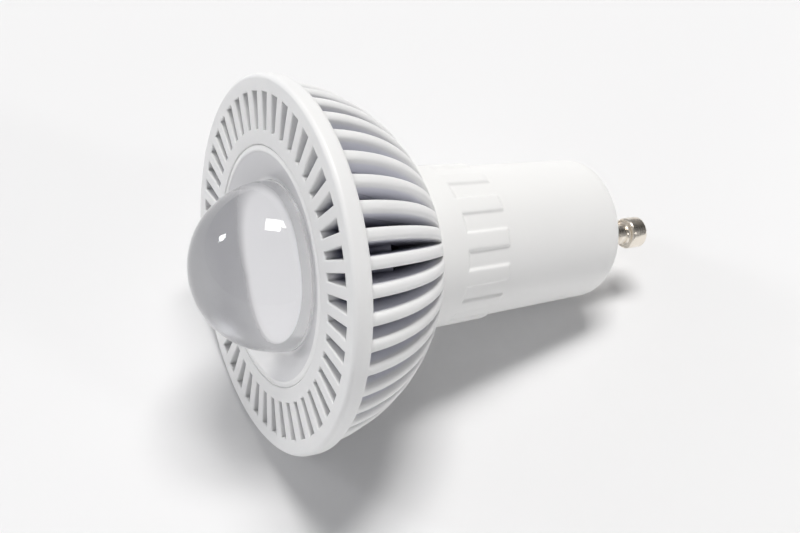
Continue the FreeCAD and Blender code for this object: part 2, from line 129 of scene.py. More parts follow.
def new_piece(name, points, faces):
    """Links an object with a mesh of points and faces; a face is a list of its corners' numbers."""
    mesh = bpy.data.meshes.new(name)
    mesh.from_pydata(np.asarray(points).reshape(-1, 3).tolist(), [], faces)
    piece = bpy.data.objects.new(name, mesh)
    bpy.context.scene.collection.objects.link(piece)
    return piece


def close_up(mesh, merge=2e-7):
    """Merges points nearer than merge metres, points a closed mesh's faces outwards and smooths them."""
    work = bmesh.new()
    work.from_mesh(mesh)
    bmesh.ops.remove_doubles(work, verts=work.verts, dist=merge)
    bmesh.ops.recalc_face_normals(work, faces=work.faces)
    work.to_mesh(mesh)
    work.free()
    edge_of_corner = np.empty(len(mesh.loops), np.int32)
    mesh.loops.foreach_get("edge_index", edge_of_corner)
    open_edges = int((np.bincount(edge_of_corner, minlength=len(mesh.edges)) != 2).sum())
    mesh.polygons.foreach_set("use_smooth", np.ones(len(mesh.polygons), bool))
    print(mesh.name, len(mesh.polygons), "faces,", open_edges, "open edges")


def make_piece(name, points, faces):
    """Closed piece whose edges look sharp wherever two faces meet at more than 35 degrees."""
    piece = new_piece(name, points, faces)
    close_up(piece.data)
    piece.data.set_sharp_from_angle(angle=SHARP)
    return piece


# %% [markdown]
# ## Profiles
#
# A turned piece starts as a profile: straight stretches and arcs in the plane of distance and place.
# Each is a short array of points in millimetres, and a profile is those arrays end to end.

# %% Arcs and turned pieces
def arc(radius, place, size, start, end, count=8):
    """Points of an arc about (radius, place), from one angle in degrees to another; 0 points outwards."""
    angle = np.radians(np.linspace(start, end, count))
    return np.stack([radius + size * np.cos(angle), place + size * np.sin(angle)], -1)


def straight(start, end, count=2):
    """Evenly spaced points from start to end."""
    share = np.linspace(0.0, 1.0, count)[:, None]
    return (1 - share) * np.array(start) + share * np.array(end)


def turned(name, profile, columns=160, closed=True):
    """Piece swept by a profile in mm round the axis; a closed profile is a ring with no poles."""
    angle = np.linspace(0.0, 2 * np.pi, columns, endpoint=False)
    points = lay(profile[:, :1] * MM, angle[None, :], profile[:, 1:] * MM)
    return make_piece(name, points, grid_faces(len(profile), columns, ring=closed))


# %% [markdown]
# ## The cast housing
#
# The housing is one casting: a slotted face inside a rim, a cup behind the lens, a ring at the neck, and
# 45 fins of one thickness that fan out between neck and rim. Carving 45 gaps from a solid is slow and
# leaves untidy faces. Since both sides of a fin are flat and parallel, every corner of the casting lies
# on a circle round the axis, at an angle that follows from the fin's half thickness: its sine is the
# half thickness over the radius. So the casting is a list of circles with four points to a fin (its
# two sides, its middle and the middle of the next gap), and each face joins two neighbouring circles
# over a whole fin, over its thickness only or over a gap only. The sides of a fin are one flat face.
#
# The fins' outer edge is one arc from the rim to the neck. Its centre lies on the line that cuts the
# chord between its two ends in half, as far off as the arc's radius asks.

# %% Sizes of the casting, in mm, and the fins' outer edge
FINS = 45
HALF_FIN = 0.85
PER_FIN = 4
RIM_RADIUS, RIM_DEPTH, RIM_ROUND, RIM_BACK_ROUND = 27.0, 2.8, 0.65, 0.8
SLOT_FROM, SLOT_TO, PLATE_BACK = 19.4, 24.6, 2.2
RECESS, RECESS_ROUND, RECESS_STEP = 17.2, 0.25, 4.0
CUP_RADIUS, CUP_FLOOR, CUP_BACK = 18.8, 8.0, 10.0
WIRE_BORE, WIRE_TUBE = 5.0, 6.6
NECK_RADIUS, NECK_PLACE, NECK_ROUND, GAP_END = 12.4, 21.6, 0.2, 13.2
COLLAR_BORE, COLLAR_FRONT, COLLAR_FLOOR = 11.0, 14.2, 15.8
SWEEP_SIZE, SWEEP_STEPS = 24.0, 26

rim_front = arc(RIM_RADIUS - RIM_ROUND, RIM_ROUND, RIM_ROUND, -90, 0, 7)
rim_back = arc(RIM_RADIUS - RIM_BACK_ROUND, RIM_DEPTH - RIM_BACK_ROUND, RIM_BACK_ROUND, 0, 90, 5)
neck_end = np.array([NECK_RADIUS, NECK_PLACE])
chord = neck_end - rim_back[-1]
middle = (neck_end + rim_back[-1]) / 2
sweep_centre = middle - np.array([chord[1], -chord[0]]) / np.linalg.norm(chord) * math.sqrt(
    SWEEP_SIZE ** 2 - (chord @ chord) / 4)


def sweep_angle(radius, place):
    """Angle, in degrees, of a point of the fins' outer edge as it is seen from the centre of its arc."""
    return math.degrees(math.atan2(place - sweep_centre[1], radius - sweep_centre[0]))


gap_end_angle = math.degrees(math.acos((GAP_END - sweep_centre[0]) / SWEEP_SIZE))
fin_edge = arc(*sweep_centre, SWEEP_SIZE, sweep_angle(*rim_back[-1]), gap_end_angle, SWEEP_STEPS + 1)
neck_edge = arc(*sweep_centre, SWEEP_SIZE, gap_end_angle, sweep_angle(*neck_end), 5)
print("fins' outer edge from", fin_edge[0].round(2), "to", neck_edge[-1].round(2))

# %% [markdown]
# Circles that bound the gaps get names, because faces are stated by them. The whole outline runs from
# the wire tube over the cup's floor, the recess, the face, the rim and the fins to the neck and back
# through the collar. The hollow between the cup and the collar, which the gaps open, is a second one.

# %% The housing's circles
circles = []


def add_circle(radius, place):
    """Keeps a circle, and gives its number."""
    circles.append((radius, place))
    return len(circles) - 1


def add_circles(profile):
    """Keeps a circle for each point of a profile, and gives their numbers."""
    return [add_circle(*point) for point in profile]


recess_mouth = arc(RECESS + RECESS_ROUND, RECESS_ROUND, RECESS_ROUND, 180, 270, 5)
outline = add_circles([(WIRE_BORE, CUP_FLOOR), (RECESS, CUP_FLOOR), (RECESS, RECESS_STEP)])
outline += add_circles(recess_mouth)
slot_in, slot_out = add_circle(SLOT_FROM, 0.0), add_circle(SLOT_TO, 0.0)
outline += [slot_in, slot_out] + add_circles(rim_front) + add_circles(rim_back)
rim_end = outline[-1]
fin_circles = [rim_end] + add_circles(fin_edge[1:])
fin_end = fin_circles[-1]
neck_round = arc(NECK_RADIUS - NECK_ROUND, NECK_PLACE - NECK_ROUND, NECK_ROUND, 45, 90, 3)
outline += fin_circles[1:] + add_circles(neck_edge[1:-1]) + add_circles(neck_round)
outline += add_circles([(COLLAR_BORE, NECK_PLACE), (COLLAR_BORE, COLLAR_FLOOR)])
outline.append(add_circle(WIRE_BORE, COLLAR_FLOOR))
plate_in, plate_out = add_circle(CUP_RADIUS, PLATE_BACK), add_circle(SLOT_FROM, PLATE_BACK)
slot_back = add_circle(SLOT_TO, RIM_DEPTH)
cup_edge, collar_edge = add_circle(CUP_RADIUS, CUP_BACK), add_circle(GAP_END, COLLAR_FRONT)
tube_front, tube_back = add_circle(WIRE_TUBE, CUP_BACK), add_circle(WIRE_TUBE, COLLAR_FRONT)
print(len(circles), "circles of", FINS * PER_FIN, "points")

# %% [markdown]
# A strip of faces joins two circles. Its part says which of a fin's four columns it covers: all of
# them, the two over the fin's thickness, or the two over the gap beside it.

# %% The housing's faces
WHOLE, FIN, GAP = (0, 1, 2, 3), (0, 1), (2, 3)


def strip(first, second, parts=WHOLE):
    """Faces between two circles, over whole fins, over the fins' thickness or over the gaps."""
    size = FINS * PER_FIN
    column = (np.arange(FINS)[:, None] * PER_FIN + np.array(parts)[None, :]).ravel()
    following = (column + 1) % size
    return np.stack([first * size + column, first * size + following,
                     second * size + following, second * size + column], -1).tolist()


def fin_sides(border):
    """The two flat sides of every fin, each as one face whose corners are listed by circle."""
    column = np.arange(FINS)[:, None] * PER_FIN
    border = np.array(border)[None, :] * FINS * PER_FIN
    return (border + column).tolist() + (border + column + 2)[:, ::-1].tolist()


def housing_faces():
    """All faces of the casting: its outline, the gaps' walls, the hollow and the fins' sides."""
    faces = []
    for first, second in zip(outline, outline[1:] + outline[:1]):
        unbroken = (first, second) != (slot_in, slot_out) and first not in fin_circles[:-1]
        faces += strip(first, second, WHOLE if unbroken else FIN)
    for first, second in ((slot_in, plate_out), (plate_out, plate_in), (plate_in, cup_edge),
                          (slot_back, slot_out), (rim_end, slot_back), (collar_edge, fin_end)):
        faces += strip(first, second, GAP)
    faces += strip(cup_edge, collar_edge, FIN)
    faces += strip(tube_front, cup_edge) + strip(collar_edge, tube_back) + strip(tube_back, tube_front)
    return faces + fin_sides([slot_in, slot_out, slot_back] + fin_circles
                             + [collar_edge, cup_edge, plate_in, plate_out])


def housing_points():
    """Points of all circles: each fin's side, middle and other side, and the middle of the next gap."""
    radius, place = np.array(circles).T[:, :, None, None]
    pitch = 2 * np.pi / FINS
    fin = (np.arange(FINS)[:, None] + 0.5) * pitch
    half = np.arcsin(HALF_FIN / radius)
    offset = np.concatenate([-half, 0 * half, half, 0 * half + pitch / 2], -1)
    return lay(radius * MM, fin + offset, place * MM)


print(len(housing_faces()), "faces in the casting")

# %% [markdown]
# A casting has no sharp edges, and their thin highlights are much of its look. The Bevel modifier rounds
# only the edges that carry a weight: the slots' lips, the fins' outer edges, which narrow towards the
# neck as the gaps do, and the floor of each slot. The weights are set while the points still have their
# numbers by circle and column, before any are merged. Weighted normals then keep the flat faces flat.

# %% Rounded edges
EDGE_ROUND = 0.62 * MM
LIP_SHARE = 0.35
NECK_SHARE, NECK_REACH = 0.06, 7.0


def weigh_edges(mesh):
    """Gives each edge its share of the rounding, from the circles and columns of its two ends."""
    ends = np.empty(len(mesh.edges) * 2, np.int32)
    mesh.edges.foreach_get("vertices", ends)
    circle, column = np.divmod(ends.reshape(-1, 2), FINS * PER_FIN)
    column = column % PER_FIN
    low, high = circle.min(1), circle.max(1)
    along_side = np.isin(column[:, 0], (0, 2)) & (column[:, 0] == column[:, 1])
    in_gap = (low == high) & (column == 3).any(1)
    weight = np.zeros(len(ends) // 2)
    weight[in_gap & np.isin(low, (slot_in, slot_out, slot_back))] = LIP_SHARE
    weight[along_side & (low == slot_in) & (high == slot_out)] = LIP_SHARE
    step = np.isin(low, fin_circles) & np.isin(high, fin_circles) & along_side & (low != high)
    radius = np.array(circles)[low[step], 0]
    weight[step] = np.clip((radius - GAP_END) / NECK_REACH, NECK_SHARE, 1.0)
    mesh.attributes.new("bevel_weight_edge", "FLOAT", "EDGE").data.foreach_set("value", weight)
    print(int((weight > 0).sum()), "edges are rounded")


def make_housing():
    """The casting, with its edges rounded."""
    piece = new_piece("housing", housing_points(), housing_faces())
    weigh_edges(piece.data)
    close_up(piece.data)
    bevel = piece.modifiers.new("rounded edges", "BEVEL")
    bevel.limit_method = "WEIGHT"
    bevel.width = EDGE_ROUND
    bevel.segments = 3
    bevel.use_clamp_overlap = False
    bevel.miter_outer = "MITER_SHARP"
    normals = piece.modifiers.new("flat faces stay flat", "WEIGHTED_NORMAL")
    normals.keep_sharp = True
    return piece


housing = make_housing()

# %% [markdown]
# ## The dish round the lens
#
# A separate ring fills the recess of the face: a rounded lip, a shallow cone that falls towards the lens
# and a skirt behind it. It is turned, so its profile says everything. Small arcs stand for its edges,
# because a real moulding's edges catch the light.

# %% Dish
SKIRT_RADIUS, SKIRT_BORE, SKIRT_END = 17.17, 15.7, 7.9
DISH_BORE, DISH_FOOT, DISH_BACK = 12.22, 1.7, 2.05
LIP_PLACE, LIP_ROUND, RING_EDGE = 16.55, 0.4, 0.12

dish = turned("dish", np.concatenate([
    [(SKIRT_RADIUS, SKIRT_END), (SKIRT_RADIUS, 0.22)],
    arc(SKIRT_RADIUS - RING_EDGE, 0.22, RING_EDGE, 0, -70, 4),
    arc(LIP_PLACE, LIP_ROUND, LIP_ROUND, -70, -140, 7),
    straight((16.05, 0.2), (12.4, 1.58), 9),
    [(12.3, 1.62), (DISH_BORE, DISH_FOOT), (DISH_BORE, DISH_BACK), (SKIRT_BORE, DISH_BACK),
     (SKIRT_BORE, SKIRT_END)]]))

# %% [markdown]
# ## The lens
#
# The lens is one clear moulding: a half ball that stands out of the face, with a flange under the dish
# and a flat back. Everything that is seen through it is bent by its round front, so the ball needs many
# rows to look round. Its back stays a hair in front of the disc behind it: two faces in one plane would
# leave the ray tracer to guess which comes first. The back, the flange and the short side under the
# dish get a finish of their own, so the faces past a place along the axis are marked.

# %% Lens
LENS_RADIUS, LENS_CENTRE, LENS_BACK = 12.2, 1.23, 1.66
FLANGE_RADIUS, FLANGE_BORE, FLANGE_FRONT, FLANGE_BACK = 13.15, 11.85, 2.12, 3.08

lens = turned("lens", np.concatenate([
    arc(0.0, LENS_CENTRE, LENS_RADIUS, -90, 0, 72),
    [(LENS_RADIUS, FLANGE_FRONT), (FLANGE_RADIUS, FLANGE_FRONT), (FLANGE_RADIUS, FLANGE_BACK)],
    [(FLANGE_BORE, FLANGE_BACK), (FLANGE_BORE, LENS_BACK), (6.0, LENS_BACK), (0.0, LENS_BACK)]]),
    closed=False)
face_centres = np.empty(len(lens.data.polygons) * 3, np.float32)
lens.data.polygons.foreach_get("center", face_centres)
face_places = (face_centres.reshape(-1, 3) - face_centre) @ along / MM
on_back = (face_places > LENS_BACK - 0.01).astype(np.int32)
print("faces on the lens's back and flange:", int(on_back.sum()))

# %% [markdown]
# ## The base
#
# The plastic base narrows slightly towards the pins and ends in a wide round. Fourteen raised pads and a
# band next to the housing give a grip. All of it is one height above the tapered body: the pads are the
# product of a profile round the axis and one along it, and the band is the larger of the two. Columns
# and rows are set close together only where the height changes, so the pads get crisp, rounded edges.

# %% Base with its grip pads
NECK, BASE_END, END_ROUND = 21.65, 56.3, 3.0
BASE_RADIUS, TAPER_LENGTH, SPIGOT_RADIUS = 12.1, 34.7, 11.0
BAND_END, PADS_END = 26.2, 33.5
PADS, PAD_ANGLE, PAD_TURN, PAD_HEIGHT, PAD_RADIUS = 14, 12.5, 41.8, 0.4, 12.0
edge_beyond = np.array([-0.5, -0.3, -0.15, -0.04, 0.07, 0.17, 0.3, 0.45])
edge_height = np.array([1.0, 0.97, 0.86, 0.66, 0.34, 0.14, 0.04, 0.0])


def rise(beyond):
    """Share of the pad's height at a distance in mm beyond its edge: one inside, none outside."""
    return np.interp(beyond, edge_beyond, edge_height)


def base_columns():
    """Angles in degrees round the base, close together at both edges of every pad."""
    half = PAD_ANGLE / 2
    edge = half + np.degrees(edge_beyond / PAD_RADIUS)
    between = np.linspace(edge[-1], 360 / PADS - edge[-1], 7)[1:-1]
    period = np.concatenate([-edge[::-1], np.linspace(-edge[0], edge[0], 7)[1:-1], edge, between])
    return (period[None, :] + np.arange(PADS)[:, None] * 360 / PADS).ravel() + PAD_TURN


def base_rows():
    """Places in mm along the base, close together at the band's edge and at the pads' ends."""
    return np.concatenate([[NECK, NECK + 0.2, 23.0, 24.5], BAND_END + edge_beyond,
                           np.linspace(BAND_END + 0.6, PADS_END - 0.6, 9), PADS_END + edge_beyond,
                           np.linspace(PADS_END + 1.0, BASE_END - END_ROUND, 14)])


def base_points():
    """Radius is the taper plus the grips' height; rows run from the neck over the side to the end."""
    rows, angle = base_rows(), base_columns()
    taper = BASE_RADIUS - (rows - NECK_PLACE) / TAPER_LENGTH
    from_pad = np.abs((angle - PAD_TURN + 180 / PADS) % (360 / PADS) - 180 / PADS) - PAD_ANGLE / 2
    pads = rise(np.radians(from_pad) * PAD_RADIUS)[None, :] * rise(rows - PADS_END)[:, None]
    height = PAD_HEIGHT * np.maximum(pads, rise(rows - BAND_END)[:, None])
    turn = arc(taper[-1] - END_ROUND, BASE_END - END_ROUND, END_ROUND, 0, 90, 12)[1:]
    cap = np.concatenate([turn, straight(turn[-1], (0.0, BASE_END), 7)[1:]])
    even = np.zeros((1, len(angle)))
    radius = np.concatenate([even, SPIGOT_RADIUS + even, taper[:, None] + height, cap[:, :1] + even])
    place = np.concatenate([[NECK, NECK], rows, cap[:, 1]])[:, None]
    return lay(radius * MM, np.radians(angle)[None, :], place * MM)


points = base_points()
base = make_piece("base", points, grid_faces(*points.shape[:2]))
print("base:", points.shape[0], "rows of", points.shape[1], "columns")

# %% [markdown]
# ## The pins
#
# Each pin is turned round an axis of its own, 5 mm from the lamp's: a thin neck that comes out of the
# base and a thick head that locks in the lampholder. The hollow curve under the head and its rounded
# edges come from the lathe that makes it.

# %% Two pins
PIN_PLACE, PIN_ANGLES = 5.0, (65.1, -114.9)
PIN_START, PIN_NECK, PIN_HEAD, PIN_ROUND = 54.0, 1.6, 2.5, 0.4
HEAD_FRONT, HEAD_END = 61.1, 64.1
pin_profile = np.concatenate([
    [(0.0, PIN_START), (PIN_NECK, PIN_START)], straight((PIN_NECK, 56.2), (PIN_NECK, 60.6), 4),
    arc(PIN_NECK + PIN_ROUND, HEAD_FRONT - PIN_ROUND, PIN_ROUND, 180, 90, 4),
    arc(PIN_HEAD - PIN_ROUND, HEAD_FRONT + PIN_ROUND, PIN_ROUND, -90, 0, 6),
    arc(PIN_HEAD - PIN_ROUND, HEAD_END - PIN_ROUND, PIN_ROUND, 0, 90, 6),
    [(1.0, HEAD_END), (0.0, HEAD_END)]])


def pin(name, angle):
    """Pin turned about its own axis, which lies 5 mm from the lamp's at an angle round it."""
    around = np.linspace(0, 2 * np.pi, 64, endpoint=False)
    centre = lay(PIN_PLACE * MM, np.radians(angle), pin_profile[:, 1:] * MM)
    out = upward * np.cos(around)[None, :, None] + side * np.sin(around)[None, :, None]
    points = centre + out * (pin_profile[:, :1, None] * MM)
    return make_piece(name, points, grid_faces(*points.shape[:2]))


pin_pieces = [pin(f"pin_{number}", angle) for number, angle in enumerate(PIN_ANGLES, 1)]

# %% [markdown]
# ## What each piece stands for
#
# Nothing on this lamp moves, so every piece rides on the one body. Each new surface hides the solid that
# it stands for, and a finish name is listed beside it.

# %% Pieces and their solids
stands_for = {"heat_sink": (housing, "housing"), "dish_ring": (dish, "dish"), "dome_lens": (lens, "lens"),
              "base_shell": (base, "base"), "contact_pin_1": (pin_pieces[0], "pin"),
              "contact_pin_2": (pin_pieces[1], "pin")}
for node, (piece, finish_name) in stands_for.items():
    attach(piece, "root")
    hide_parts(node)
print(len(stands_for), "solids are replaced")

# %% [markdown]
# ## Writing a finish as sums
#
# A finish is a network of nodes. Most of them are plain arithmetic, so a small class wraps a node's
# output and gives it the usual signs: an expression such as 1 - mask * 0.2 adds the nodes that work it
# out. Every other node comes from one method that takes its kind, its settings and its sockets.

# %% Arithmetic on node outputs
class Amount:
    """A number, colour or vector inside a finish; arithmetic on numbers adds Math nodes."""

    def __init__(self, finish, socket):
        self.finish, self.socket = finish, socket

    def __add__(self, other):
        return self.finish.math("ADD", self, other)

    def __sub__(self, other):
        return self.finish.math("SUBTRACT", self, other)

    def __rsub__(self, other):
        return self.finish.math("SUBTRACT", other, self)

    def __mul__(self, other):
        return self.finish.math("MULTIPLY", self, other)

    __radd__, __rmul__ = __add__, __mul__

    def over(self, low, high):
        """Nought below low, one above high, and a smooth step between them."""
        return self.finish.node("MapRange", {"interpolation_type": "SMOOTHSTEP"},
                                {"Value": self, "From Min": low, "From Max": high})


# %% [markdown]
# A finish starts as an empty material, or world, and hands out its nodes. Two measures recur: how far a
# point is from the lamp's axis, and how far behind the face. Both come from the piece's own coordinates,
# by a cross product and a dot product with the axis, so a pattern stays on its piece.

# %% A finish and its nodes
class Finish:
    """A material or world under construction; places are the piece's own coordinates, in metres."""

    def __init__(self, name, kept=bpy.data.materials):
        self.material = kept.new(name)
        self.material.use_nodes = True
        self.tree = self.material.node_tree
        self.tree.nodes.clear()
        self.place = self.node("TexCoord", output="Object")

    def node(self, kind, settings=None, sockets=None, output=0):
        """Adds a node of a kind, makes its settings, then fills its sockets with values or links."""
        made = self.tree.nodes.new("ShaderNode" + kind)
        for name, value in (settings or {}).items():
            setattr(made, name, value)
        for name, value in (sockets or {}).items():
            if isinstance(value, Amount):
                self.tree.links.new(value.socket, made.inputs[name])
            else:
                made.inputs[name].default_value = value
        return None if output is None else Amount(self, made.outputs[output])

    def math(self, operation, *values):
        """Math node on numbers and outputs."""
        return self.node("Math", {"operation": operation}, dict(enumerate(values)))

    def vector(self, operation, *values):
        """Vector Math node; a dot product, a length or a distance comes out as a number."""
        output = "Value" if operation in ("DOT_PRODUCT", "LENGTH", "DISTANCE") else "Vector"
        return self.node("VectorMath", {"operation": operation}, dict(enumerate(values)), output)

    def from_axis(self):
        """Distance from the lamp's axis, and place along it from the face, in metres."""
        offset = self.vector("SUBTRACT", self.place, face_centre.tolist())
        across = self.vector("CROSS_PRODUCT", offset, along.tolist())
        return self.vector("LENGTH", across), self.vector("DOT_PRODUCT", offset, along.tolist())

    def noise(self, size, detail=2.0, roughness=0.5):
        """Soft noise whose lumps are about size metres across."""
        return self.node("TexNoise", {"noise_dimensions": "3D"},
                         {"Vector": self.place, "Scale": 1 / size, "Detail": detail, "Roughness": roughness})

    def blend(self, share, first, second):
        """Colour that goes from the first to the second as the share goes from nought to one."""
        return self.node("Mix", {"data_type": "RGBA"}, {0: share, 6: first, 7: second}, output=2)

    def bump(self, height, depth, strength=1.0):
        """Normal of a surface whose relief is height times depth metres."""
        return self.node("Bump", None, {"Height": height, "Distance": depth, "Strength": strength})

    def surface(self, **sockets):
        """Principled surface; underscores in the names stand for spaces."""
        named = {key.replace("_", " "): value for key, value in sockets.items()}
        return self.node("BsdfPrincipled", None, named)

    def done(self, shader, output="OutputMaterial"):
        """Links the shader to the output and gives the material."""
        self.node(output, None, {"Surface": shader}, output=None)
        print(self.material.name, "has", len(self.tree.nodes), "nodes")
        return self.material


def wear(piece, material):
    """Gives a piece one material."""
    piece.data.materials.clear()
    piece.data.materials.append(material)


def rgb(*channels):
    """Colour with full opacity."""
    return (*channels, 1.0)


# %% [markdown]
# ## Painted housing
#
# The casting is powder coated: an even off-white with the very fine ripple that melted powder leaves.
# The ripple is a bump of a few microns, because anything deeper would look like plaster at this size.
# The photograph is darker and bluer between the fins and in the slots than plain white paint comes out
# there, so shade is painted into the colour: it turns blue-grey with depth. Depth is how far a point
# lies inside the fins' outer edge. That edge is an arc, so depth is the arc's radius less the distance
# from its centre. A small step of painted shade comes just inside the fins' rounded edges, behind the
# rim only, so that their lit edges stand apart from their shaded sides. The deep painted shade comes in
# slowly and starts a little behind the face, so that the slots get it too.

# %% Powder coat and painted shade
COAT_DARK, COAT_LIGHT = rgb(0.875, 0.875, 0.878), rgb(0.905, 0.905, 0.9)
# The second line's colours are painted shade: a light blue-grey for the fins' sides and a deep blue-grey
# between the fins and in the slots.
SIDE_SHADE, DEEP_SHADE = rgb(0.79, 0.795, 0.85), rgb(0.26, 0.265, 0.345)
SIDE_DEPTH, DEEP_DEPTH = (0.5 * MM, 1.25 * MM), (1.0 * MM, 6.5 * MM)
PAST_RIM, PAST_FACE = (2.9 * MM, 3.3 * MM), (0.2 * MM, 2.4 * MM)


def powder_coat_and_shade():
    """Paint whose colour follows a soft cloud, with painted shade inside the fins' outer edge that deepens
    with the depth below it.
    """
    coat = Finish("powder_coat_and_shade")
    ripple = coat.noise(0.0007, 3.0, 0.55)
    cloud = coat.noise(0.012)
    colour = coat.blend(cloud.over(0.3, 0.7) * 0.6 + ripple * 0.4, COAT_DARK, COAT_LIGHT)
    across, far = coat.from_axis()
    out, back = across - sweep_centre[0] * MM, far - sweep_centre[1] * MM
    depth = SWEEP_SIZE * MM - coat.math("SQRT", out * out + back * back)
    # Painted shade: a light step just inside the fins' lit edges, then the deep shade between the fins and in
    # the slots.
    colour = coat.blend(depth.over(*SIDE_DEPTH) * far.over(*PAST_RIM), colour, SIDE_SHADE)
    colour = coat.blend(depth.over(*DEEP_DEPTH) * far.over(*PAST_FACE), colour, DEEP_SHADE)
    return coat.done(coat.surface(Base_Color=colour, Roughness=0.36 + ripple * 0.12, IOR=1.48,
                                  Normal=coat.bump(ripple, 0.00002, 0.6)))


wear(housing, powder_coat_and_shade())

# %% [markdown]
# ## Satin dish
#
# The dish is plastic with a thin satin metal layer, so it takes on the grey and white of what is round
# it. In the photograph its lowest part is nearly white, and the rounded lip and the edge next to the
# lens are paler than the cone between them. These are painted into its colour: a painted highlight
# goes to white round a low point, a painted highlight makes the lip paler beyond one distance from the
# axis, and painted light makes the edge next to the lens paler within another, where the dome's shade
# falls.

# %% Satin layer of the dish, with painted highlights and painted light
SATIN_DARK, SATIN_LIGHT = rgb(0.72, 0.72, 0.74), rgb(0.76, 0.76, 0.775)
# The tones of the lip and of the foot, and the white round the low point, are painted highlights and painted
# light.
LIP_HIGHLIGHT_TONE, FOOT_PAINTED_LIGHT, WHITE = rgb(0.9, 0.9, 0.9), rgb(0.97, 0.97, 0.98), rgb(1.0, 1.0, 1.0)
HIGHLIGHT_FADE, LIP_HIGHLIGHT_FADE, FOOT_LIGHT_FADE = (3.0 * MM, 9.0 * MM), (16.25 * MM, 16.45 * MM), (12.3 * MM, 13.0 * MM)
HIGHLIGHT_POINT = lay(15.3 * MM, math.radians(169), 0.9 * MM)


def satin_with_painted_light():
    """Cloudy grey, with a painted white highlight round the low point, a painted highlight on the lip and
    painted light at the edge next to the lens, placed by distance from the low point and from the axis.
    """
    satin = Finish("satin_with_painted_light")
    grain = satin.noise(0.0004)
    across = satin.from_axis()[0]
    from_highlight = satin.vector("DISTANCE", satin.place, HIGHLIGHT_POINT.tolist())
    colour = satin.blend(satin.noise(0.006), SATIN_DARK, SATIN_LIGHT)
    # Painted highlight round the low point, painted highlight on the lip, and painted light at the edge next
    # to the lens over the dome's shade.
    colour = satin.blend(from_highlight.over(*HIGHLIGHT_FADE), WHITE, colour)
    colour = satin.blend(across.over(*LIP_HIGHLIGHT_FADE), colour, LIP_HIGHLIGHT_TONE)
    colour = satin.blend(across.over(*FOOT_LIGHT_FADE), FOOT_PAINTED_LIGHT, colour)
    return satin.done(satin.surface(Base_Color=colour, Metallic=0.35, Roughness=0.3 + grain * 0.08,
                                    Normal=satin.bump(grain, 0.00001, 0.4)))


wear(dish, satin_with_painted_light())

# %% [markdown]
# ## Clear lens
#
# The lens is clear acrylic with a trace of haze. A path tracer finds small lamps through a bent clear
# surface only by chance, so for shadow and diffuse rays the lens is a plain filter instead. Seen from
# outside it lets a fifth of the light past, so that the dome casts its soft shadow on the table. Seen
# from inside it lets nearly all of it in, and what lies behind it stays bright.

# %% Clear acrylic
LET_IN, LET_PAST = rgb(0.97, 0.97, 0.97), rgb(0.2, 0.2, 0.2)


def clear_acrylic():
    """Clear surface to the eye and to mirror rays, and a filter with two sides to all other rays."""
    clear = Finish("clear_acrylic")
    haze = clear.noise(0.005, 3.0)
    glass = clear.surface(Base_Color=rgb(0.985, 0.985, 0.99), Roughness=haze.over(0.55, 0.8) * 0.03,
                          IOR=1.49, Transmission_Weight=1.0, Normal=clear.bump(haze, 0.000004, 0.3))
    outer, inner = (clear.node("BsdfTransparent", None, {"Color": share}) for share in (LET_PAST, LET_IN))
    from_inside = clear.node("NewGeometry", output="Backfacing")
    filter_layer = clear.node("MixShader", None, {0: from_inside, 1: outer, 2: inner})
    shadow_ray = clear.node("LightPath", output="Is Shadow Ray")
    diffuse_ray = clear.node("LightPath", output="Is Diffuse Ray")
    return clear.done(clear.node("MixShader", None, {0: shadow_ray + diffuse_ray, 1: glass, 2: filter_layer}))


# %% [markdown]
# ## What shows through the lens
#
# Behind the clear front the eye meets the flat back: a white disc in a satin grey seat. The disc is
# round, but looks longer along one slanting line and a little off to one side, so its edge is the
# distance from the axis, shifted to the side and stretched along that line. The edge is crisp on the
# near side and out of focus on the far side. The seat is darker on its far side: painted shade, where
# the lens shows shaded parts behind it. The flange beyond the disc and seat is white and hardly shows.

# %% Back of the lens, with painted shade
DISC_WHITE = rgb(0.97, 0.965, 0.98)
# The first seat colour is painted shade for the seat's far side.
SEAT_FAR_SHADE, SEAT_NEAR, SEAT_EDGE = rgb(0.4, 0.4, 0.42), rgb(0.62, 0.62, 0.63), rgb(0.64, 0.64, 0.65)
DISC_RADIUS, DISC_SHIFT, DISC_STRETCH = 6.4 * MM, 0.035, 0.15
CRISP_EDGE, SOFT_EDGE, SIDE_FADE = (-0.1 * MM, 0.15 * MM), (-0.8 * MM, 0.8 * MM), (-9.0 * MM, 9.0 * MM)
SEAT_FADE, FLANGE_FADE = (9.0 * MM, 11.4 * MM), (11.4 * MM, 11.8 * MM)
STRETCH_LINE = tuple(-0.6 * upward + 0.8 * side)


